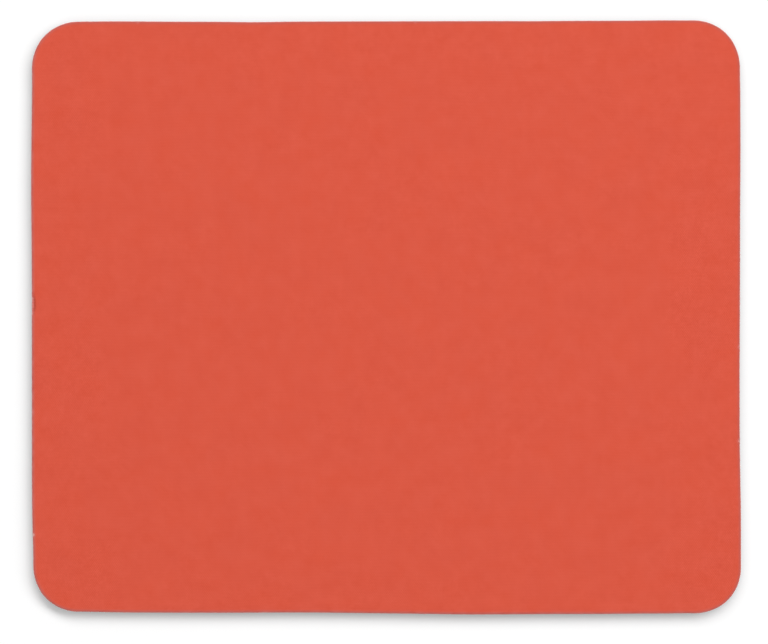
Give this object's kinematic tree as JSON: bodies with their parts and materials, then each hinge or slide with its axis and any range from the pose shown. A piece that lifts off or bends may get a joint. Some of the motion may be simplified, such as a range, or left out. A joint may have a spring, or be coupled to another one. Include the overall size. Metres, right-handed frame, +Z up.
{
  "type": "mouse pad",
  "caption": "Flat rectangular mouse pad with rounded corners: woven cloth face bonded to sponge rubber with a non-slip rubber underside.",
  "frame": {"origin": "on the desk surface, under the middle of the pad", "axes": "+X along the pad's longer side, to the right as a person at the desk sees it; +Y towards the back edge; +Z up, out of the cloth face"},
  "size_m": [0.235, 0.1964, 0.003],
  "materials": {
    "cloth": "matte",
    "film": "satin",
    "sponge": "matte",
    "grip": "matte"
  },
  "bodies": {
    "root": {"cloth_top": "cloth", "bonding_film": "film", "foam_core": "sponge", "grip_skin": "grip"}
  },
  "joints": []
}
